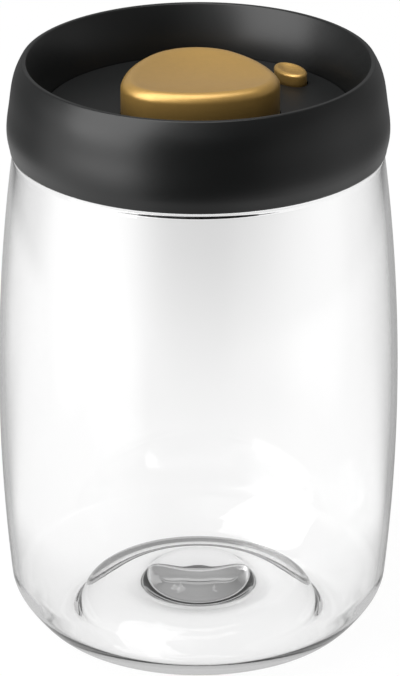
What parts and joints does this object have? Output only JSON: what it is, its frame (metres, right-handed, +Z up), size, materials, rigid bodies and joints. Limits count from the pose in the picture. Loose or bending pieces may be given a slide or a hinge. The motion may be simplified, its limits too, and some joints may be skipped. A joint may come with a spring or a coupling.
{
  "type": "vacuum seal canister",
  "caption": "Clear glass food canister with a domed base and a black lid that holds a gold push pump and a small air release button.",
  "frame": {"origin": "centre of the ring that the jar stands on, on the table plane", "axes": "+Z up along the jar's axis, -Y towards the side that the picture sees, +X to its right"},
  "size_m": [0.1102, 0.1102, 0.1652],
  "materials": {
    "clear_glass": "clear, polished",
    "black_shell": "fine matt moulding",
    "black_panel": "fine matt moulding",
    "black_inner": "plain moulding",
    "white_moulding": "plain moulding",
    "gold": "satin gold coating",
    "silicone": "smooth silicone",
    "valve_silicone": "smooth silicone",
    "spring_steel": "drawn wire",
    "screw_steel": "plated",
    "felt": "needled felt"
  },
  "bodies": {
    "jar": {"glass_jar": "clear_glass"},
    "lid": {"lid_shell": "black_shell", "lid_panel": "black_panel", "inner_lid": "black_inner", "main_gasket": "silicone", "pump_cylinder": "white_moulding", "cylinder_oring": "silicone", "intake_valve": "valve_silicone", "pump_spring": "spring_steel", "lid_screws": "screw_steel", "valve_cover": "black_inner", "filter_felt": "felt", "release_spring": "spring_steel"},
    "pump": {"pump_button": "gold", "button_carrier": "white_moulding", "piston": "white_moulding", "piston_seal": "silicone", "exhaust_valve": "valve_silicone"},
    "release": {"release_button": "gold", "release_stem": "white_moulding", "release_seal": "silicone"}
  },
  "joints": [
    {"name": "lid_lift", "type": "slide", "parent": "jar", "child": "lid", "axis": [0, 0, 1], "range_m": [0, 0.04]},
    {"name": "pump_press", "type": "slide", "parent": "lid", "child": "pump", "axis": [0, 0, -1], "range_m": [0, 0.006], "stiffness_N_per_m": 700, "springref_m": -0.004, "deforming": ["pump_spring"]},
    {"name": "release_press", "type": "slide", "parent": "lid", "child": "release", "axis": [0, 0, -1], "range_m": [0, 0.0022], "stiffness_N_per_m": 400, "springref_m": -0.004, "deforming": ["release_spring"]}
  ]
}
